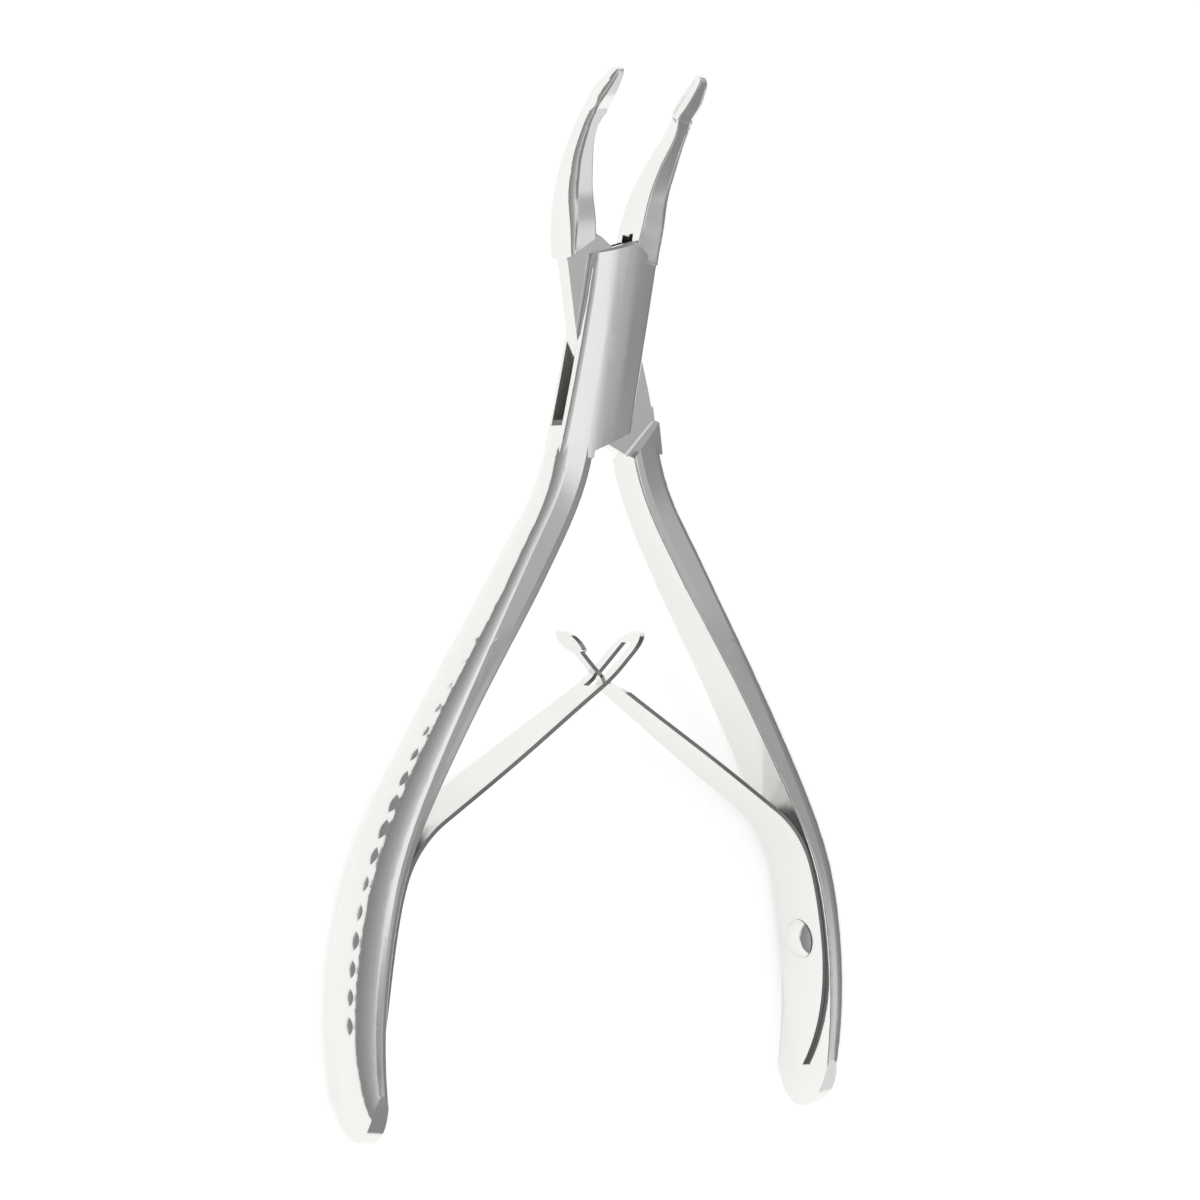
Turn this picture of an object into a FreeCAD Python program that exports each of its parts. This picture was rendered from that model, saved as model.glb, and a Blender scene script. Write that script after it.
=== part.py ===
import FreeCAD, Part
import math
import os

V = FreeCAD.Vector

# Bone rongeur, box lock, curved on the flat. Millimetres and degrees.
# X is across the handles, +Y runs to the jaws, +Z is the side the jaws curve towards.
# The origin is on the pivot axis, on the flat underside of the box.
# Each arm is shaped about its own middle line, the plane x = 0, and then swung open.

# Pivot and opening
half_opening = 8.5
jaw_set = 1.2
bite_clearance = 0.03
pin_radius = 2.0
pin_running_clearance = 0.05

# Box
box_thickness = 6.0
box_crown_drop = 0.42
box_flank_drop = 0.4
box_land_width = 2.6
box_edge_radius = 0.8
box_top_bevel = 0.45
jaw_side_width = 5.3
jaw_side_taper = 1.3
handle_side_width = 5.6
handle_side_flare = 0.95
box_reach_up = 15.45
box_reach_down = 14.4
box_top_angle = 26.0
box_bottom_angle = 32.3
crotch_gap = 1.1
slot_height = 2.7
slot_top_reach = 13.05
slot_bottom_reach = 12.5
slot_wall_angle = 45.0

# Tenon and its shoulders
slot_side_clearance = 0.05
tenon_top_clearance = 1.15
tenon_bottom_clearance = 1.55
tenon_side_inset = 0.15
jaw_shoulder_clearance = 0.72
jaw_shoulder_bevel = 0.25
handle_shoulder_reach = 16.9
handle_shoulder_angle = 39.3
handle_shoulder_bevel = 0.4

# Jaws
jaw_reach = 39.0
tip_rise = 13.3
jaw_depth = 6.0
jaw_width = 4.4
jaw_edge_radius = 0.25
cup_heel = 33.9
rim_relief = 0.45
cup_heel_radius = 1.15
cup_tip_radius = 0.5
cup_depth = 0.6
cup_tip_depth = 0.28
cup_tip_wall = 0.9
cup_run_out = 0.9

# Handles
handle_length = 115.7
handle_spread = 24.4
handle_width = 12.4
handle_thickness = 5.6
handle_ridge = 1.3
handle_edge_radius = 0.35
inner_bevel_fall = 0.16
handle_end_length = 8.7

# Grip ribs
rib_count = 16
rib_pitch = 3.65
rib_start = 46.5
rib_height = 0.5
rib_first_height = 0.28
rib_roundness = 0.63
rib_side_angle = 40.0
rib_end_angle = 62.0

# Leaf springs and their rivets
leaf_thickness = 0.6
leaf_width = 10.5
leaf_tip_width = 6.3
leaf_seat_clearance = 0.08
leaf_tail_setback = 10.3
leaf_seat_length = 30.4
leaf_lift_run = 5.5
leaf_tip_angle = 46.0
leaf_tip_length = 9.6
leaf_seat_points = 9
leaf_tip_bend = 2.6
leaf_cross_share = 0.409
leaf_tail_width = 1.7
leaf_tail_round = 0.25
leaf_window_width = 2.4
leaf_window_below = 1.0
leaf_window_above = 5.2
t_neck_width = 1.8
t_head_width = 4.6
t_head_length = 3.1
t_shoulder = 1.3
rivet_setback = 19.1
rivet_head_radius = 2.93
rivet_head_height = 1.5
rivet_rim = 0.1
rivet_shank_radius = 1.3
rivet_shank_depth = 3.0
rivet_hole_clearance = 0.15
rivet_bore_clearance = 0.03

half_box = box_thickness / 2
slot_half = slot_height / 2
tenon_half = slot_half - slot_side_clearance
handle_root = box_reach_down - crotch_gap * 2.2
horn_root = box_reach_up - crotch_gap * 1.8
leaf_tail = handle_length - leaf_tail_setback
leaf_lift_off = leaf_tail - leaf_seat_length
leaf_cross = leaf_cross_share * handle_length
rivet_from_pivot = leaf_tail - rivet_setback
far = 2 * handle_length
wide = 2 * handle_side_width
round_share = 0.5523
tan_top = math.tan(math.radians(box_top_angle))
tan_bottom = math.tan(math.radians(box_bottom_angle))
tan_shoulder = math.tan(math.radians(handle_shoulder_angle))
tan_wall = math.tan(math.radians(slot_wall_angle))
tan_taper = math.tan(math.radians(jaw_side_taper))

# Rows of the handle from the box to the end, as shares of its length, spread, width and
# thickness, and then the flat front strip's width and its fall, as shares of the thickness.
handle_rows = (
    (0.000, 0.000, 0.435, 0.880, 0.75, 0.045),
    (0.048, 0.007, 0.487, 1.055, 0.66, 0.038),
    (0.096, 0.045, 0.508, 1.030, 0.67, 0.026),
    (0.173, 0.161, 0.565, 1.025, 0.68, 0.014),
    (0.270, 0.341, 0.652, 1.000, 0.64, 0.007),
    (0.386, 0.569, 0.737, 0.965, 0.50, 0.000),
    (0.501, 0.771, 0.800, 0.965, 0.39, 0.000),
    (0.617, 0.941, 0.903, 0.930, 0.30, 0.000),
    (0.733, 0.998, 0.988, 0.935, 0.24, 0.000),
    (0.849, 0.966, 0.985, 0.890, 0.23, 0.000),
    (0.935, 0.891, 0.985, 0.745, 0.23, 0.000),
    (1.000, 0.828, 0.985, 0.330, 0.34, 0.000),
)

# Rows of the jaw from the box to the heel of the cup: share of the way, share of the
# rise, share of the depth, inner side from the middle, share of the width, corner.
horn_rows = (
    (0.000, 0.000, 0.97, 1.10, 0.965, 0.60),
    (0.175, 0.018, 1.02, 0.95, 0.98, 0.90),
    (0.325, 0.060, 0.98, 0.95, 0.965, 1.20),
    (0.475, 0.115, 0.84, 1.05, 0.91, 1.35),
    (0.620, 0.215, 0.68, 1.18, 0.82, 1.25),
    (0.745, 0.320, 0.56, 1.35, 0.72, 1.15),
    (0.845, 0.417, 0.50, 1.50, 0.60, 1.05),
    (0.920, 0.500, 0.45, 1.30, 0.58, 0.95),
    (1.000, 0.605, 0.42, 0.48, 0.67, 0.85),
)

# Rows of the cup from its heel to the tip: share of the way, share of the rise,
# share of the depth, share of the rim relief, share of the width, corner.
cup_rows = (
    (0.000, 0.605, 0.420, 1.00, 0.67, 0.85),
    (0.260, 0.700, 0.410, 0.72, 0.66, 0.85),
    (0.520, 0.818, 0.400, 0.44, 0.59, 0.80),
    (0.780, 0.930, 0.330, 0.18, 0.45, 0.65),
    (0.940, 0.985, 0.250, 0.04, 0.32, 0.45),
    (1.000, 1.000, 0.160, 0.00, 0.21, 0.25),
)

# Rows of the leaf's outline: share of the way from the tail to the rivet and share of the
# half width, then share of the way from the rivet to the tip and of the gain over the tip.
leaf_tail_rows = ((0.38, 0.74), (0.70, 0.95), (1.05, 1.0))
leaf_run_rows = ((0.29, 0.91), (0.62, 0.83), (0.76, 0.64), (0.92, 0.17), (1.0, 0.0))


def mix(low, high, share):
    return low + (high - low) * share


def wire_through(points):
    edges = []
    for i, start in enumerate(points):
        end = points[(i + 1) % len(points)]
        edges.append(Part.LineSegment(start, end).toShape())
    return Part.Wire(edges)


def prism(points, low, high):
    flat = [V(x, y, low) for x, y in points]
    return Part.Face(wire_through(flat)).extrude(V(0, 0, high - low))


def mirrored(shape):
    return shape.mirror(V(0, 0, 0), V(1, 0, 0))


def swung(shape, degrees):
    turned = shape.copy()
    turned.rotate(V(0, 0, 0), V(0, 0, 1), degrees)
    return turned


def rounded_wire(start, steps):
    # Each step is the next point, or the corner that is rounded off and the next point.
    edges = []
    here = start
    for step in steps:
        if len(step) == 1:
            edges.append(Part.LineSegment(here, step[0]).toShape())
        else:
            corner, end = step
            curve = Part.BezierCurve()
            curve.setPoles([here, here + (corner - here) * round_share,
                            end + (corner - end) * round_share, end])
            edges.append(curve.toShape())
        here = step[-1]
    return Part.Wire(edges)


# Handle: a flat inner face, a flat front strip and a round back, swept along a bowed line

def handle_row(along):
    for low, high in zip(handle_rows, handle_rows[1:]):
        if along <= high[0]:
            share = (along - low[0]) / (high[0] - low[0])
            return [mix(a, b, share) for a, b in zip(low, high)]
    return list(handle_rows[-1])


def handle_inner_curve():
    points = []
    for row in handle_rows:
        x = mix(crotch_gap, handle_spread, row[1])
        points.append(V(x, -mix(handle_root, handle_length, row[0]), 0))
    curve = Part.BSplineCurve()
    curve.interpolate(points)
    return curve, points


def outward_at(curve, point):
    tangent = curve.tangent(curve.parameter(point))[0]
    outward = V(-tangent.y, tangent.x, 0)
    if outward.x < 0:
        outward = outward * -1
    return outward


def handle_section(point, outward, row, inner_fall):
    half = row[2] * handle_width / 2
    thickness = row[3] * handle_thickness
    strip = row[4] * thickness
    fall = row[5] * thickness
    edge = min(handle_edge_radius, strip / 3)
    ridge = min(handle_ridge, mix(edge, strip, 0.5))
    face = half - inner_fall * row[3]

    def at(o, z):
        return point + outward * o + V(0, 0, z)

    return rounded_wire(at(0, edge - face), [
        [at(0, face - edge)],
        [at(0, face), at(edge, face)],
        [at(ridge, half)],
        [at(strip, half - fall)],
        [at(thickness, half - fall), at(thickness, 0)],
        [at(thickness, fall - half), at(strip, fall - half)],
        [at(ridge, -half)],
        [at(edge, -face)],
        [at(0, -face), at(0, edge - face)],
    ])


def handle_end_outline():
    centre_y = -(handle_length - handle_end_length)
    half = handle_width / 2
    end = Part.Ellipse(V(0, -handle_length, 0), V(0, centre_y, half), V(0, centre_y, 0))
    rounded = Part.Face(Part.Wire([end.toShape()])).extrude(V(far, 0, 0))
    straight = Part.makeBox(far, far, 2 * handle_width, V(0, centre_y, -handle_width))
    return rounded.fuse(straight)


def handle_blank(inner_fall):
    curve, points = handle_inner_curve()
    sections = []
    for point, row in zip(points, handle_rows):
        sections.append(handle_section(point, outward_at(curve, point), row, inner_fall))
    body = Part.makeLoft(sections, True, False)
    return body.common(handle_end_outline())


def handle_point(curve, distance):
    low = curve.FirstParameter
    high = curve.LastParameter
    for _ in range(40):
        middle = (low + high) / 2
        if -curve.value(middle).y < distance:
            low = middle
        else:
            high = middle
    return (low + high) / 2


def rib_lens(ball, centre, outward):
    # The outer part of a ball, turned about an axis along the rib.
    foot = centre + outward * (ball * math.cos(math.radians(rib_end_angle)))
    reach = V(0, 0, ball * math.sin(math.radians(rib_end_angle)))
    crest = Part.Arc(foot - reach, centre + outward * ball, foot + reach).toShape()
    back = Part.LineSegment(foot + reach, foot - reach).toShape()
    profile = Part.Face(Part.Wire([crest, back]))
    profile.rotate(centre, V(0, 0, 1), -rib_side_angle)
    return profile.revolve(centre, V(0, 0, 1), 2 * rib_side_angle)


def ribs():
    curve, _ = handle_inner_curve()
    start = handle_point(curve, rib_start)
    first = curve.length(curve.FirstParameter, start)
    lenses = []
    for i in range(rib_count):
        parameter = curve.parameterAtDistance(first + i * rib_pitch, curve.FirstParameter)
        point = curve.value(parameter)
        row = handle_row((-point.y - handle_root) / (handle_length - handle_root))
        half = row[2] * handle_width / 2
        thickness = row[3] * handle_thickness
        back_radius = half ** 2 / (thickness * (1 - row[4]))
        ball = rib_roundness * back_radius
        height = mix(rib_first_height, rib_height, min(1, 2 * i / rib_count))
        outward = outward_at(curve, point)
        centre = point + outward * (thickness + height - ball)
        lenses.append(rib_lens(ball, centre, outward))
    return lenses


def ribbed_handle(inner_fall):
    return handle_blank(inner_fall).fuse(ribs())


# Jaw: a horn that bows away from its mate, rises, and ends in a scooped cup

def jaw_section(x_inner, width, depth, corner, centre, normal):
    x_outer = x_inner + width
    radius = min(corner, 0.45 * width, 0.45 * depth)
    edge = min(jaw_edge_radius, 0.2 * depth, 0.2 * width)
    half = depth / 2

    def at(x, n):
        return V(x, centre[0], centre[1]) + normal * n

    return rounded_wire(at(x_inner, edge - half), [
        [at(x_inner, half - edge)],
        [at(x_inner, half), at(x_inner + edge, half)],
        [at(x_outer - radius, half)],
        [at(x_outer, half), at(x_outer, half - radius)],
        [at(x_outer, radius - half)],
        [at(x_outer, -half), at(x_outer - radius, -half)],
        [at(x_inner + edge, -half)],
        [at(x_inner, -half), at(x_inner, edge - half)],
    ])


def jaw_centres():
    horn = [(mix(horn_root, cup_heel, r[0]), r[1] * tip_rise) for r in horn_rows]
    cup = [(mix(cup_heel, jaw_reach, r[0]), r[1] * tip_rise) for r in cup_rows]
    return horn, cup


def normal_at(centres, i):
    before = centres[max(i - 1, 0)]
    after = centres[min(i + 1, len(centres) - 1)]
    tangent = V(0, after[0] - before[0], after[1] - before[1]).normalize()
    return V(0, -tangent.z, tangent.y)


def cup_rim(share):
    return bite_clearance + rim_relief * share


def jaw():
    horn, cup = jaw_centres()
    line = horn + cup[1:]
    last = len(horn_rows) - 1
    sections = []
    for i, row in enumerate(horn_rows):
        x_inner = cup_rim(1.0) if i == last else row[3] * crotch_gap / 1.1
        sections.append(jaw_section(x_inner, row[4] * jaw_width, row[2] * jaw_depth,
                                    row[5], line[i], normal_at(line, i)))
    tip = [sections[-1]]
    for i, row in enumerate(cup_rows[1:], 1):
        tip.append(jaw_section(cup_rim(row[3]), row[4] * jaw_width, row[2] * jaw_depth,
                               row[5], cup[i], normal_at(line, i + last)))
    horn_body = Part.makeLoft(sections, True, False)
    cup_body = Part.makeLoft(tip, True, False)
    whole = horn_body.fuse(cup_body).cut(cup_hollow(line, last))
    return swung(whole, -jaw_set)


def cup_hollow(line, last):
    # A gouge that starts just before the heel and grows shallow towards the tip.
    heel = V(cup_rim(1.0) + cup_depth - cup_heel_radius, line[last][0], line[last][1])
    tip = V(cup_rim(0.0) + cup_tip_depth - cup_tip_radius, line[-1][0], line[-1][1])
    along = (tip - heel).normalize()
    start = heel - along * cup_run_out
    end = tip - along * (cup_tip_wall + cup_tip_radius)
    gouge = Part.makeCone(cup_heel_radius, cup_tip_radius, (end - start).Length, start, along)
    return gouge.fuse(Part.makeSphere(cup_tip_radius, end))


# Box lock

def top_edge(x, clearance):
    return box_reach_up + clearance / math.cos(math.radians(box_top_angle)) + x * tan_top


def bottom_edge(x):
    return -box_reach_down + x * tan_bottom


def shoulder_edge(x, rise):
    return -handle_shoulder_reach + rise / math.cos(math.radians(handle_shoulder_angle)) + x * tan_shoulder


def crown_height(offset):
    radius = (handle_side_width ** 2 + box_crown_drop ** 2) / (2 * box_crown_drop)
    return half_box - radius + math.sqrt(radius ** 2 - offset ** 2)


def crowned(body):
    # The front is a shallow arc. The underside has a flat land, and falls away beside it.
    land = box_land_width / 2
    slope = box_flank_drop / (handle_side_width - land)
    low = -half_box + slope * (wide - land)
    y = -far / 2
    crown = Part.Arc(V(wide, y, crown_height(wide)), V(0, y, half_box), V(-wide, y, crown_height(wide)))
    outline = Part.Wire([
        crown.toShape(),
        Part.LineSegment(V(-wide, y, crown_height(wide)), V(-wide, y, low)).toShape(),
        Part.LineSegment(V(-wide, y, low), V(-land, y, -half_box)).toShape(),
        Part.LineSegment(V(-land, y, -half_box), V(land, y, -half_box)).toShape(),
        Part.LineSegment(V(land, y, -half_box), V(wide, y, low)).toShape(),
        Part.LineSegment(V(wide, y, low), V(wide, y, crown_height(wide))).toShape(),
    ])
    return body.common(Part.Face(outline).extrude(V(0, far, 0)))


def jaw_side(y):
    return jaw_side_width + y * tan_taper


def box_outline():
    # Handle on the left, jaw on the right. The left side flares into the handle.
    root = bottom_edge(-crotch_gap) - crotch_gap
    top_y = top_edge(crotch_gap, 0)
    left_top = -(handle_side_width - jaw_side_taper / 5)
    top_left = V(left_top, top_edge(left_top, 0), 0)
    bottom_x = jaw_side(bottom_edge(jaw_side_width))
    return Part.Wire([
        Part.LineSegment(top_left, V(crotch_gap, top_y, 0)).toShape(),
        Part.LineSegment(V(crotch_gap, top_y, 0), V(jaw_side(top_y), top_y, 0)).toShape(),
        Part.LineSegment(V(jaw_side(top_y), top_y, 0), V(bottom_x, bottom_edge(bottom_x), 0)).toShape(),
        Part.LineSegment(V(bottom_x, bottom_edge(bottom_x), 0),
                         V(-crotch_gap, bottom_edge(-crotch_gap), 0)).toShape(),
        Part.LineSegment(V(-crotch_gap, bottom_edge(-crotch_gap), 0), V(-crotch_gap, root, 0)).toShape(),
        Part.LineSegment(V(-crotch_gap, root, 0),
                         V(-handle_side_width - handle_side_flare, root, 0)).toShape(),
        Part.Arc(V(-handle_side_width - handle_side_flare, root, 0),
                 V(-handle_side_width, 0, 0), top_left).toShape(),
    ])


def softened(body):
    # The long edges between the sides and the broad faces are rounded.
    chosen = []
    for edge in body.Edges:
        middle = edge.valueAt((edge.FirstParameter + edge.LastParameter) / 2)
        long_side = edge.Length > box_reach_down and abs(middle.x) > 0.8 * jaw_side_width
        if long_side and abs(middle.z) > slot_half:
            chosen.append(edge)
    return body.makeFillet(box_edge_radius, chosen)


def top_bevel():
    # The slanted top edge of the front plate is bevelled.
    along = V(1, tan_top, 0).normalize()
    across = V(-along.y, along.x, 0)
    start = V(crotch_gap, top_edge(crotch_gap, 0), 0) - along * wide
    high = V(0, 0, half_box)
    rise = V(0, 0, 1)
    wedge = [
        start + high - across * (box_top_bevel + 1) + rise,
        start + high + across + rise,
        start + high + across - rise * (box_top_bevel + 1),
    ]
    return Part.Face(wire_through(wedge)).extrude(along * wide)


def box_block():
    wire = box_outline()
    wire.translate(V(0, 0, -half_box))
    block = Part.Face(wire).extrude(V(0, 0, box_thickness))
    return softened(crowned(block)).cut(top_bevel())


def wall_reach(reach):
    return reach / math.cos(math.radians(slot_wall_angle))


def slot():
    top = wall_reach(slot_top_reach) - crotch_gap * tan_wall
    bottom = crotch_gap * tan_wall - wall_reach(slot_bottom_reach)
    points = [
        (-wide, bottom + (wide - crotch_gap) * tan_wall), (-crotch_gap, bottom), (wide, bottom),
        (wide, top - (wide - crotch_gap) * tan_wall), (crotch_gap, top), (-wide, top),
    ]
    return prism(points, -slot_half, slot_half)


def pin_bore(radius):
    return Part.makeCylinder(radius, 2 * box_thickness, V(0, 0, -box_thickness))


def tenon():
    # Handle on the right, jaw on the left. Its left side leans a little.
    top = wall_reach(slot_top_reach - tenon_top_clearance)
    bottom = -wall_reach(slot_bottom_reach - tenon_bottom_clearance)
    left = tenon_side_inset - jaw_side(0)
    left_top = tenon_side_inset - jaw_side(box_reach_up)
    right = handle_side_width
    inner = 0.8 * crotch_gap
    heel = -crotch_gap - inner
    out = right + handle_side_flare
    sections = []
    for z in (-tenon_half, tenon_half):
        points = [
            V(left_top, top_edge(left_top, jaw_shoulder_clearance) + inner, z),
            V(left, bottom - left * tan_wall, z),
            V(heel, bottom - heel * tan_wall, z),
            V(0.7 * crotch_gap, shoulder_edge(crotch_gap, 0.5), z),
            V(1.2 * crotch_gap, shoulder_edge(crotch_gap, 0), z),
            V(out, shoulder_edge(out, -inner), z),
            V(mix(right, out, 0.35), -0.42 * box_reach_down, z),
            V(right - inner / 2, 0, z),
            V(right - inner / 2, top - (right - inner / 2) * tan_wall, z),
            V(inner, top - inner * tan_wall, z),
            V(-inner, top_edge(0, jaw_shoulder_clearance) + inner, z),
        ]
        sections.append(wire_through(points))
    return Part.makeLoft(sections, True, True)


def jaw_root_block():
    left = -crotch_gap - horn_rows[0][4] * jaw_width
    inner_y = top_edge(-crotch_gap, 0)
    points = [
        (left, top_edge(left, 0)), (left, inner_y + crotch_gap),
        (-crotch_gap, inner_y + crotch_gap), (-crotch_gap, inner_y),
    ]
    return crowned(prism(points, -half_box, half_box))


def handle_root_block():
    right = handle_side_width + handle_side_flare
    points = [
        (crotch_gap, shoulder_edge(crotch_gap, 0)), (right, shoulder_edge(crotch_gap, 0)),
        (right, shoulder_edge(right, 2)), (crotch_gap, shoulder_edge(crotch_gap, 2)),
    ]
    return crowned(prism(points, -half_box, half_box))


def cheek_mill(side):
    # One cheek is milled down to the tenon between the two shoulders.
    floor = side * tenon_half
    ceiling = side * 3 * half_box
    sections = []
    for z in (floor, ceiling):
        run = abs(z - floor) / (half_box - tenon_half)
        up = jaw_shoulder_clearance + jaw_shoulder_bevel * run
        down = handle_shoulder_bevel * (1 - run)
        points = [
            V(-wide, top_edge(-wide, up), z), V(wide, top_edge(wide, up), z),
            V(wide, shoulder_edge(wide, down), z), V(-wide, shoulder_edge(-wide, down), z),
        ]
        sections.append(wire_through(points))
    return Part.makeLoft(sections, True, True)


def box_arm():
    arm = box_block().fuse([mirrored(ribbed_handle(inner_bevel_fall)), jaw()])
    arm = arm.cut(slot())
    return arm.cut(pin_bore(pin_radius))


def tenon_arm():
    right = ribbed_handle(0).fuse(handle_root_block())
    left = mirrored(jaw()).fuse(jaw_root_block())
    right = right.cut([cheek_mill(1), cheek_mill(-1)])
    left = left.cut([cheek_mill(1), cheek_mill(-1)])
    arm = tenon().fuse([right, left])
    return arm.cut(pin_bore(pin_radius + pin_running_clearance))


def pivot_pin():
    wire = box_outline()
    wire.translate(V(0, 0, -half_box))
    block = crowned(Part.Face(wire).extrude(V(0, 0, box_thickness)))
    return block.common(pin_bore(pin_radius))


# Leaf springs, shaped on the right handle and mirrored for the left

def face_point(handle, y):
    ray = Part.LineSegment(V(-far, y, 0), V(far, y, 0)).toShape()
    hit = handle.common(ray)
    return V(min(v.X for v in hit.Vertexes), y, 0)


def face_normal(handle, y):
    step = leaf_thickness
    along = face_point(handle, y + step) - face_point(handle, y - step)
    return V(-along.y, along.x, 0).normalize()


def turned_left(direction):
    return V(-direction.y, direction.x, 0)


def leaf_middle(handle):
    # Segments of the leaf's middle line, each a list of (point, normal) pairs.
    lift = leaf_seat_clearance + leaf_thickness / 2
    seat = []
    for i in range(leaf_seat_points):
        y = -mix(leaf_tail, leaf_lift_off, i / (leaf_seat_points - 1))
        normal = face_normal(handle, y)
        seat.append((face_point(handle, y) + normal * lift, normal))
    start, normal = seat[-1]
    leave = V(normal.y, -normal.x, 0)
    corner = start + leave * leaf_lift_run
    cross = V(0, -leaf_cross, 0)
    run = (cross - corner).normalize()
    lift_arc, before, after = bend(corner, leave, run, leaf_lift_run)
    tip_slope = math.radians(leaf_tip_angle)
    tip = V(-math.cos(tip_slope), math.sin(tip_slope), 0)
    tip_arc, low, high = bend(cross, run, tip, leaf_tip_bend)
    end = cross + tip * leaf_tip_length
    run_normal = turned_left(run)
    tip_normal = turned_left(tip)
    return [
        seat,
        lift_arc,
        [(after, run_normal), (low, run_normal)],
        tip_arc,
        [(high, tip_normal), (end, tip_normal)],
    ]


def bend(corner, before, after, run):
    # The arc that joins two straight runs, with `run` of each used up.
    start = corner - before * run
    end = corner + after * run
    start_normal = turned_left(before)
    end_normal = turned_left(after)
    radius = run / math.tan(before.getAngle(after) / 2)
    side = 1 if before.x * after.y - before.y * after.x > 0 else -1
    centre = start + start_normal * (side * radius)
    middle_normal = (start_normal + end_normal).normalize()
    middle = centre - middle_normal * (side * radius)
    arc = [(start, start_normal), (middle, middle_normal), (end, end_normal)]
    return arc, start, end


def offset_edge(segment, distance):
    points = [p + n * distance for p, n in segment]
    if len(points) == 2:
        return Part.LineSegment(points[0], points[1]).toShape()
    if len(points) == 3:
        return Part.Arc(points[0], points[1], points[2]).toShape()
    curve = Part.BSplineCurve()
    curve.interpolate(points)
    return curve.toShape()


def leaf_strip(handle):
    half = leaf_thickness / 2
    strips = []
    for segment in leaf_middle(handle):
        near = offset_edge(segment, half)
        away = offset_edge(segment, -half)
        first = Part.LineSegment(near.Vertexes[0].Point, away.Vertexes[0].Point).toShape()
        last = Part.LineSegment(near.Vertexes[-1].Point, away.Vertexes[-1].Point).toShape()
        face = Part.Face(Part.Wire(Part.__sortEdges__([near, last, away, first])))
        face.translate(V(0, 0, -handle_width))
        strips.append(face.extrude(V(0, 0, 2 * handle_width)))
    return strips[0].fuse(strips[1:]).removeSplitter()


def leaf_side(y_top, half_top):
    # One side of the leaf's outline, from the tail to y_top, in (y, z).
    half = leaf_width / 2
    points = [V(0, leaf_tail_round - leaf_tail, leaf_tail_width / 2)]
    for share, width_share in leaf_tail_rows:
        points.append(V(0, mix(-leaf_tail, -rivet_from_pivot, share), width_share * half))
    for share, width_share in leaf_run_rows:
        points.append(V(0, mix(-rivet_from_pivot, y_top, share), mix(half_top, half, width_share)))
    curve = Part.BSplineCurve()
    curve.interpolate(points)
    return curve.toShape()


def leaf_plan(edges):
    wire = Part.Wire(Part.__sortEdges__(edges))
    face = Part.Face(wire)
    face.translate(V(-far / 2, 0, 0))
    return face.extrude(V(far, 0, 0))


def flip(edge):
    return edge.mirror(V(0, 0, 0), V(0, 0, 1))


def tip_height():
    return -leaf_cross + leaf_tip_length * math.sin(math.radians(leaf_tip_angle))


def tail_edge(side):
    low = min((v.Point for v in side.Vertexes), key=lambda p: p.y)
    return Part.Arc(low, V(0, -leaf_tail, 0), V(0, low.y, -low.z)).toShape()


def slotted_plan():
    half = leaf_tip_width / 2
    top = tip_height()
    base = -leaf_cross - leaf_window_below
    side = leaf_side(base, half)
    straight = Part.LineSegment(V(0, base, half), V(0, top - half, half)).toShape()
    nose = Part.Arc(V(0, top - half, half), V(0, top, 0), V(0, top - half, -half)).toShape()
    plan = leaf_plan([side, straight, nose, flip(straight), flip(side), tail_edge(side)])
    length = leaf_window_below + leaf_window_above
    width = leaf_window_width
    window = Part.makeBox(far, length, width, V(-far / 2, base, -width / 2))
    return plan.cut(window)


def t_plan():
    half = leaf_tip_width / 2
    neck = t_neck_width / 2
    head = t_head_width / 2
    top = tip_height()
    base = -leaf_cross - leaf_window_below - t_neck_width / 2
    stem_foot = base + t_shoulder
    crown = top - 0.3 * t_head_length
    shoulder = Part.Arc(V(0, base, half), V(0, mix(base, stem_foot, 0.7), mix(neck, half, 0.35)),
                        V(0, stem_foot, neck)).toShape()
    side = leaf_side(base, half)
    stem = Part.LineSegment(V(0, stem_foot, neck), V(0, top - t_head_length, neck)).toShape()
    head_side = Part.Arc(V(0, top - t_head_length, neck), V(0, mix(top - t_head_length, top, 0.3), head),
                         V(0, crown, 0.92 * head)).toShape()
    nose = Part.Arc(V(0, crown, 0.92 * head), V(0, top, 0), V(0, crown, -0.92 * head)).toShape()
    half_edges = [side, shoulder, stem, head_side]
    return leaf_plan(half_edges + [nose] + [flip(e) for e in half_edges] + [tail_edge(side)])


def rivet_frame(handle):
    # The rivet's foot on the handle's face, and the way out.
    return face_point(handle, -rivet_from_pivot), face_normal(handle, -rivet_from_pivot)


def rivet(handle):
    seat, normal = rivet_frame(handle)
    base = seat + normal * (leaf_thickness + 2 * leaf_seat_clearance)
    dome = rivet_head_height - rivet_rim
    ball = (rivet_head_radius ** 2 + dome ** 2) / (2 * dome)
    head = Part.makeCylinder(rivet_head_radius, rivet_head_height, base, normal)
    head = head.common(Part.makeSphere(ball, base + normal * (rivet_head_height - ball)))
    foot = seat - normal * rivet_shank_depth
    length = (base - foot).Length + rivet_rim
    return head.fuse(Part.makeCylinder(rivet_shank_radius, length, foot, normal))


def rivet_hole(handle, radius, depth):
    seat, normal = rivet_frame(handle)
    return Part.makeCylinder(radius, depth + 2 * rivet_head_height, seat - normal * depth, normal)


def leaf(handle, plan):
    hole = rivet_hole(handle, rivet_shank_radius + rivet_hole_clearance, leaf_thickness)
    return leaf_strip(handle).common(plan).cut(hole)


def placed(shape):
    # The whole instrument stands on the underside of the box.
    moved = shape.copy()
    moved.translate(V(0, 0, half_box))
    return moved


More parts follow.
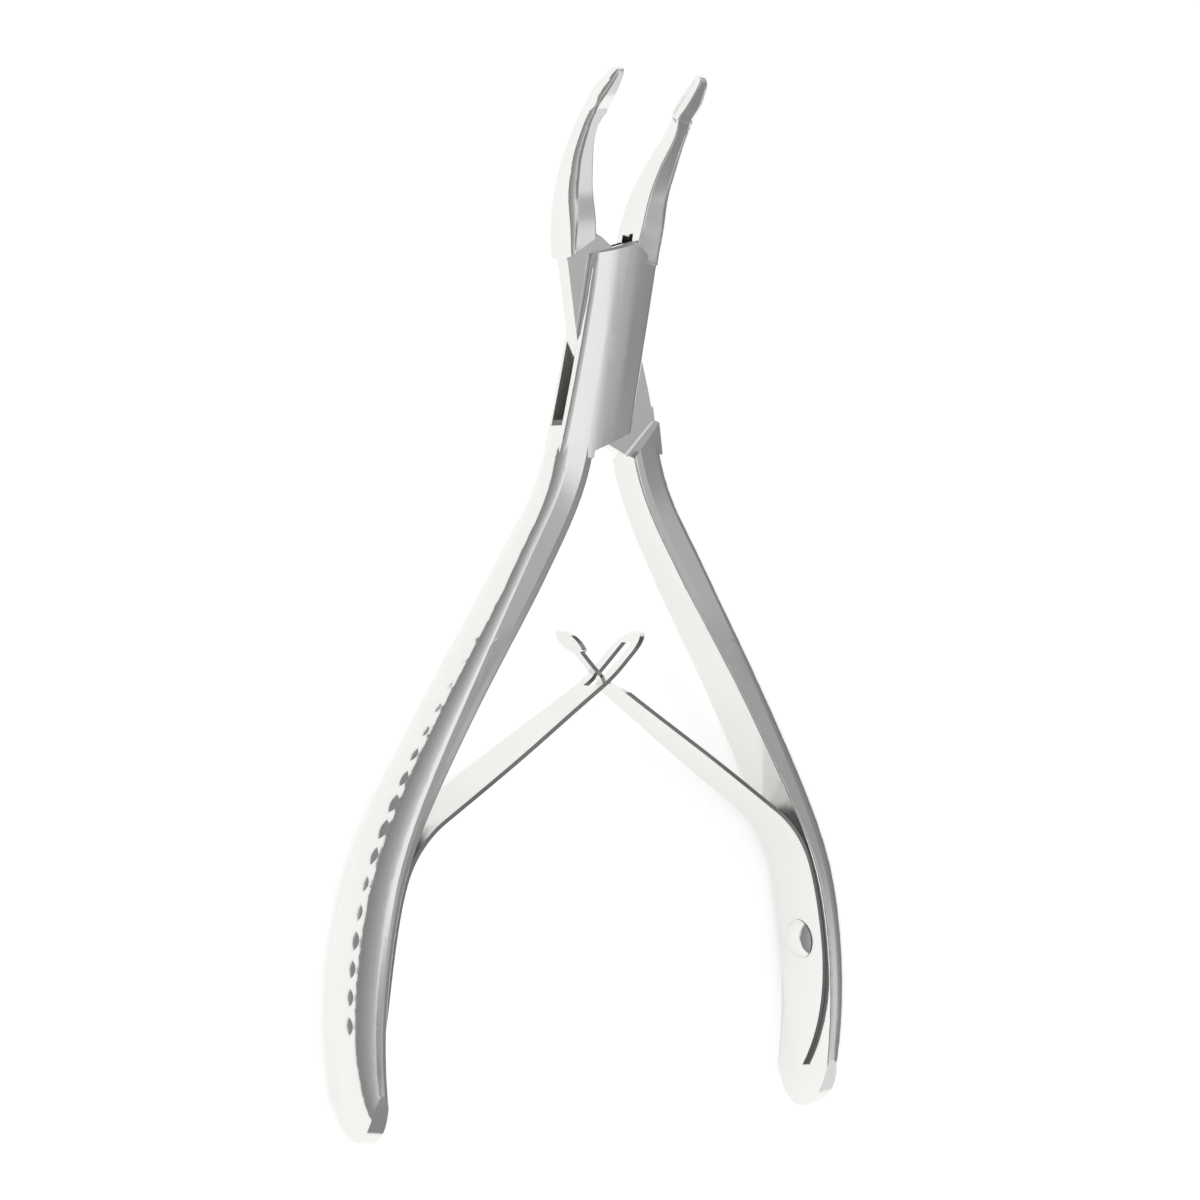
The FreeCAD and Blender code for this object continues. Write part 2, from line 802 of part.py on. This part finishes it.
def build():
    right_handle = swung(handle_blank(0), half_opening)
    bore = rivet_hole(right_handle, rivet_shank_radius + rivet_bore_clearance, rivet_shank_depth)
    fixing = rivet(right_handle)
    open_box = swung(box_arm(), -half_opening).cut(mirrored(bore))
    open_tenon = swung(tenon_arm(), half_opening).cut(bore)
    return {
        "box_arm": open_box,
        "tenon_arm": open_tenon,
        "pivot_pin": swung(pivot_pin(), -half_opening),
        "slotted_leaf_spring": mirrored(leaf(right_handle, slotted_plan())),
        "t_headed_leaf_spring": leaf(right_handle, t_plan()),
        "box_arm_spring_rivet": mirrored(fixing),
        "tenon_arm_spring_rivet": fixing,
    }


os.makedirs("parts", exist_ok=True)
for name, shape in build().items():
    piece = placed(shape)
    solids = piece.Solids
    if len(solids) != 1 or not piece.isValid():
        print(name, "solids", len(solids), "valid", piece.isValid())
    solids[0].exportStep("parts/" + name + ".step")
    box = piece.BoundBox
    print(name, round(piece.Volume, 1), [round(v, 2) for v in (
        box.XMin, box.XMax, box.YMin, box.YMax, box.ZMin, box.ZMax)])
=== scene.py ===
import math

import bpy
from mathutils import Matrix, Vector


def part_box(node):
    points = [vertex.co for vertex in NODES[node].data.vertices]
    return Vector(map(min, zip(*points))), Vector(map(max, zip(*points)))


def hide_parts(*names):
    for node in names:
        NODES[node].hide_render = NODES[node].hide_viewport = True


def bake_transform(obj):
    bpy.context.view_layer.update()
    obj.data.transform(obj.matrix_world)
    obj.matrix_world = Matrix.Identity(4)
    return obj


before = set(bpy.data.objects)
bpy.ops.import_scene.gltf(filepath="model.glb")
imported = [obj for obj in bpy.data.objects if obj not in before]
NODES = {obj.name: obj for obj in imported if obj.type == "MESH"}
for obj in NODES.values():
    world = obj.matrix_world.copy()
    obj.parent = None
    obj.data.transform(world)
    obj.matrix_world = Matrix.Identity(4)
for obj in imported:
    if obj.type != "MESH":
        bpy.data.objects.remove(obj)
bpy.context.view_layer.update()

MM = 0.001
BOX_MIDDLE = 3.0 * MM

# Camera: it looks down on the instrument from its left, with the jaws at the top of the frame.
# The lens and the centre are in pixels of the 1200 by 1200 frame.
VIEW_TURN = math.radians(34.0)
VIEW_PITCH = 0.006901
VIEW_ROLL = -0.014236
VIEW_DISTANCE = 511.96 * MM
VIEW_Y = -36.03 * MM
LENS_PIXELS = 3562.07
FRAME_PIXELS = 1200.0
CENTRE_PIXEL = 600.63
SENSOR = 36.0
NEAR = 0.05
FAR = 20.0

# Floor: what shows in the steel is a little warmer than what the camera sees
FLOOR_COLOUR = 0.86
FLOOR_GLOW = 0.66
FLOOR_WARMTH = (1.0, 0.985, 0.945)
FLOOR_SIZE = 4.0
WHITE = (1.0, 1.0, 1.0)

# The room's brightness by direction: degrees from straight up, positive to the right.
# Its far end, beyond the handles, goes by the direction's share to the right instead.
ROOM = (
    (-90, 0.24), (-60, 0.33), (-35, 0.42), (-14, 0.56), (2, 0.70), (14, 0.82),
    (27, 0.82), (30.5, 0.34), (46, 0.29), (66, 0.24), (90, 0.18),
)
FAR_END = ((0.0, 0.27), (0.48, 0.27), (0.57, 0.80), (0.70, 0.80), (0.82, 0.30), (1.0, 0.24))
FAR_END_TURN = (0.02, -0.18)
ROOM_TINT = (0.99, 1.0, 1.0)

# One soft lamp overhead
LAMP_PLACE = (0.20, 0.06, 0.90)
LAMP_SIZE = (0.30, 0.90)
LAMP_POWER = 0.12

# Steel: the colours of its open faces and of sheared edges, the painted shade in recesses and the painted
# shade on the slot walls
BRIGHT = (0.90, 0.90, 0.895)
SHADED = (0.80, 0.805, 0.80)
SHEARED = (0.36, 0.36, 0.355)
RECESS_SHADE_COLOUR = (0.50, 0.50, 0.495)
SLOT_SHADE_COLOUR = (0.30, 0.30, 0.27)

# A recess is where walls this near leave little of the room in view; painted shade darkens the steel
# there, more as less of the room is in view
RECESS_REACH = 2.5 * MM
RECESS_SAMPLES = 8
RECESS_SHADE_OPEN = (0.15, 0.45)
# The rivets get painted shade over a wider range of openness, which darkens their rims
RIVET_RIM_SHADE_OPEN = (0.45, 0.66)

# Brushed lines per metre, soft clouds, and how far each changes the roughness
BRUSH_ACROSS = 2600.0
BRUSH_ALONG = 130.0
BRUSH_GRAIN = 0.6
BRUSH_DEPTH = 0.02 * MM
BRUSH_SHEEN = 0.05
CLOUD_SCALE = 55.0
CLOUD_GRAIN = 0.55
CLOUD_SHEEN = 0.10

# A leaf's sheared edges are the faces that look up or down by at least this much
EDGE_FACES_UP = 0.7

# The slot through the box, in the box arm's own directions: at rest the arm is turned by half the opening
HALF_OPENING = math.radians(8.5)
SLOT_HALF_HEIGHT = 1.37 * MM
SLOT_REACH = 12.3 * MM
SLOT_RIGHT = 4.6 * MM


def view_axes():
    """The camera's right, up and back directions."""
    across = Vector((math.cos(VIEW_TURN), 0, math.sin(VIEW_TURN)))
    back = Vector((-math.sin(VIEW_TURN), 0, math.cos(VIEW_TURN)))
    up = Vector((0, 1, 0)) * math.cos(VIEW_PITCH) - back * math.sin(VIEW_PITCH)
    back = Vector((0, 1, 0)) * math.sin(VIEW_PITCH) + back * math.cos(VIEW_PITCH)
    right = across * math.cos(VIEW_ROLL) - up * math.sin(VIEW_ROLL)
    up = across * math.sin(VIEW_ROLL) + up * math.cos(VIEW_ROLL)
    return right, up, back


def add_camera():
    right, up, back = view_axes()
    place = Vector((0, VIEW_Y, BOX_MIDDLE)) + back * VIEW_DISTANCE
    data = bpy.data.cameras.new("camera")
    data.sensor_width = SENSOR
    data.lens = LENS_PIXELS / FRAME_PIXELS * SENSOR
    data.shift_x = (FRAME_PIXELS / 2 - CENTRE_PIXEL) / FRAME_PIXELS
    data.clip_start = NEAR
    data.clip_end = FAR
    camera = bpy.data.objects.new("camera", data)
    camera.matrix_world = Matrix((
        (right.x, up.x, back.x, place.x),
        (right.y, up.y, back.y, place.y),
        (right.z, up.z, back.z, place.z),
        (0, 0, 0, 1),
    ))
    bpy.context.scene.collection.objects.link(camera)
    bpy.context.scene.camera = camera
    return camera


class Nodes:
    """A short way to build a node tree. An input is named, or given by its number after an underscore."""

    def __init__(self, owner):
        owner.use_nodes = True
        self.tree = owner.node_tree
        self.tree.nodes.clear()

    def add(self, kind, settings=None, **inputs):
        made = self.tree.nodes.new("ShaderNode" + kind)
        for key, value in (settings or {}).items():
            setattr(made, key, value)
        for key, value in inputs.items():
            socket = made.inputs[int(key[1:]) if key[0] == "_" else key.replace("_", " ")]
            if isinstance(value, bpy.types.NodeSocket):
                self.tree.links.new(value, socket)
            else:
                socket.default_value = value
        return made

    def math(self, operation, *values):
        inputs = {"_%d" % i: value for i, value in enumerate(values)}
        return self.add("Math", {"operation": operation}, **inputs).outputs[0]

    def mix(self, share, first, second):
        """The first colour where share is 0, the second where it is 1."""
        colour = {"data_type": "RGBA"}
        return self.add("Mix", colour, _0=share, _6=first, _7=second).outputs[2]

    def ramp(self, share, levels):
        """The room's light level at each share from 0 to 1."""
        made = self.add("ValToRGB", Fac=share)
        stops = made.color_ramp.elements
        for at, level in levels:
            stop = stops[0] if at == 0 else stops[-1] if at == 1 else stops.new(at)
            stop.color = [level * tint for tint in ROOM_TINT] + [1]
        return made.outputs["Color"]

    def seen_directly(self):
        """1 for the camera and for what metal and glass show, 0 for light that falls on the object."""
        path = self.add("LightPath").outputs
        seen = self.math("MAXIMUM", path["Is Camera Ray"], path["Is Glossy Ray"])
        return self.math("MAXIMUM", seen, path["Is Transmission Ray"])


def add_floor():
    low = min(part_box(name)[0].z for name in NODES)
    mesh = bpy.data.meshes.new("floor")
    s = FLOOR_SIZE / 2
    mesh.from_pydata([(-s, -s, low), (s, -s, low), (s, s, low), (-s, s, low)], [], [(0, 1, 2, 3)])
    floor = bpy.data.objects.new("floor", mesh)
    bpy.context.scene.collection.objects.link(floor)
    material = bpy.data.materials.new("pale_floor")
    nodes = Nodes(material)
    matt = nodes.add("BsdfDiffuse", Color=(FLOOR_COLOUR, FLOOR_COLOUR, FLOOR_COLOUR, 1))
    strength = nodes.math("MULTIPLY", nodes.seen_directly(), FLOOR_GLOW)
    straight = nodes.add("LightPath").outputs["Is Camera Ray"]
    tint = nodes.mix(straight, FLOOR_WARMTH + (1,), WHITE + (1,))
    glow = nodes.add("Emission", Color=tint, Strength=strength)
    both = nodes.add("AddShader", _0=matt.outputs[0], _1=glow.outputs[0])
    nodes.add("OutputMaterial", Surface=both.outputs[0])
    mesh.materials.append(material)


def add_lamp():
    data = bpy.data.lights.new("overhead", "AREA")
    data.shape = "RECTANGLE"
    data.size, data.size_y = LAMP_SIZE
    data.energy = LAMP_POWER
    lamp = bpy.data.objects.new("overhead", data)
    place = Vector(LAMP_PLACE)
    turn = (-place).to_track_quat("-Z", "Y").to_matrix().to_4x4()
    lamp.matrix_world = Matrix.Translation(place) @ turn
    bpy.context.scene.collection.objects.link(lamp)


def add_world():
    """A room that is bright overhead and grey towards the sides, with its own light at the far end."""
    world = bpy.data.worlds.new("room")
    nodes = Nodes(world)
    way = nodes.add("SeparateXYZ", Vector=nodes.add("TexCoord").outputs["Generated"]).outputs
    angle = nodes.math("ARCTAN2", way["X"], way["Z"])
    share = nodes.add("MapRange", Value=angle, _1=-math.pi / 2, _2=math.pi / 2).outputs[0]
    sides = nodes.ramp(share, [((degrees + 90) / 180, level) for degrees, level in ROOM])
    end = nodes.ramp(way["X"], FAR_END)
    turn = nodes.add("MapRange", Value=way["Y"], _1=FAR_END_TURN[0], _2=FAR_END_TURN[1]).outputs[0]
    turn = nodes.math("MULTIPLY", turn, nodes.math("GREATER_THAN", way["X"], 0.0))
    light = nodes.mix(turn, sides, end)
    glow = nodes.add("Background", Color=light, Strength=1.0)
    nodes.add("OutputWorld", Surface=glow.outputs[0])
    bpy.context.scene.world = world


def in_slot(nodes, place):
    """1 on the walls of the slot through the box, 0 elsewhere."""
    own = nodes.add("VectorRotate", {"rotation_type": "Z_AXIS"}, Vector=place, Angle=HALF_OPENING)
    way = nodes.add("SeparateXYZ", Vector=own.outputs[0]).outputs
    height = nodes.math("ABSOLUTE", nodes.math("SUBTRACT", way["Z"], BOX_MIDDLE))
    inside = nodes.math("MULTIPLY", nodes.math("LESS_THAN", height, SLOT_HALF_HEIGHT),
                        nodes.math("LESS_THAN", nodes.math("ABSOLUTE", way["Y"]), SLOT_REACH))
    return nodes.math("MULTIPLY", inside, nodes.math("LESS_THAN", way["X"], SLOT_RIGHT))


def steel(name, roughness, brush, shade_open=RECESS_SHADE_OPEN, sheared_edges=False, painted_slot_shade=False):
    """Satin steel: fine lines along the instrument, soft clouds in sheen and colour, painted shade in
    recesses and, where asked, on the walls of the slot through the box; there the steel also turns
    non-metal.
    """
    material = bpy.data.materials.new(name)
    nodes = Nodes(material)
    place = nodes.add("TexCoord").outputs["Object"]
    stretched = nodes.add("Mapping", Vector=place, Scale=(BRUSH_ACROSS, BRUSH_ALONG, BRUSH_ACROSS))
    lines = nodes.add("TexNoise", Vector=stretched.outputs[0],
                      Scale=1.0, Detail=3.0, Roughness=BRUSH_GRAIN)
    clouds = nodes.add("TexNoise", Vector=place, Scale=CLOUD_SCALE, Detail=4.0, Roughness=CLOUD_GRAIN)
    tone = nodes.mix(clouds.outputs[0], SHADED + (1,), BRIGHT + (1,))
    samples = {"samples": RECESS_SAMPLES}
    open_share = nodes.add("AmbientOcclusion", samples, Distance=RECESS_REACH).outputs["AO"]
    # Painted shade: a darker colour, and non-metal steel, where nearby walls hide the room
    painted_shade = nodes.add("MapRange", Value=open_share, _1=shade_open[0], _2=shade_open[1], _3=1.0, _4=0.0).outputs[0]
    colour = nodes.mix(painted_shade, tone, RECESS_SHADE_COLOUR + (1,))
    if sheared_edges:
        up = nodes.add("SeparateXYZ", Vector=nodes.add("TexCoord").outputs["Normal"]).outputs["Z"]
        edge = nodes.math("GREATER_THAN", nodes.math("ABSOLUTE", up), EDGE_FACES_UP)
        colour = nodes.mix(edge, colour, SHEARED + (1,))
    painted_shade_matt = painted_shade
    if painted_slot_shade:
        # Painted shade: the walls of the slot through the box get a dark colour and turn non-metal
        slot = in_slot(nodes, place)
        painted_shade_matt = nodes.math("MAXIMUM", painted_shade, slot)
        colour = nodes.mix(slot, colour, SLOT_SHADE_COLOUR + (1,))
    sheen = nodes.math("ADD", nodes.math("MULTIPLY", clouds.outputs[0], CLOUD_SHEEN),
                       nodes.math("MULTIPLY", lines.outputs[0], BRUSH_SHEEN))
    rough = nodes.math("ADD", sheen, roughness - (CLOUD_SHEEN + BRUSH_SHEEN) / 2)
    bump = nodes.add("Bump", Height=lines.outputs[0], Strength=brush, Distance=BRUSH_DEPTH)
    shader = nodes.add("BsdfPrincipled", Metallic=nodes.math("SUBTRACT", 1.0, painted_shade_matt), Roughness=rough,
                       Base_Color=colour, Normal=bump.outputs[0])
    nodes.add("OutputMaterial", Surface=shader.outputs[0])
    return material


def bending_leaf(name):
    """A copy of a leaf spring with its placement baked in, which takes the place of the hidden rigid
    part; it keeps the rigid shape and does not bend.
    """
    rigid = NODES[name]
    leaf = bpy.data.objects.new(name + "_bent", rigid.data.copy())
    leaf.matrix_world = rigid.matrix_world
    bpy.context.scene.collection.objects.link(leaf)
    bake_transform(leaf)
    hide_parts(name)
    return leaf


def paint(obj, material):
    obj.data.materials.clear()
    obj.data.materials.append(material)


camera = add_camera()
add_floor()
add_world()
add_lamp()

box_steel = steel("satin_box_arm_steel", 0.13, 0.10, painted_slot_shade=True)
arm_steel = steel("satin_tenon_arm_steel", 0.13, 0.10)
pin_steel = steel("ground_pin_steel", 0.20, 0.12)
leaf_steel = steel("rolled_leaf_steel", 0.14, 0.06, sheared_edges=True)
rivet_steel = steel("turned_rivet_steel", 0.12, 0.05, shade_open=RIVET_RIM_SHADE_OPEN)
for name, obj in NODES.items():
    if name == "box_arm":
        paint(obj, box_steel)
    elif name == "tenon_arm":
        paint(obj, arm_steel)
    elif name.endswith("_rivet"):
        paint(obj, rivet_steel)
    elif name == "pivot_pin":
        paint(obj, pin_steel)
    else:
        paint(obj, leaf_steel)

bending_leaf("slotted_leaf_spring")
bending_leaf("t_headed_leaf_spring")

bpy.context.scene.view_settings.view_transform = "Standard"
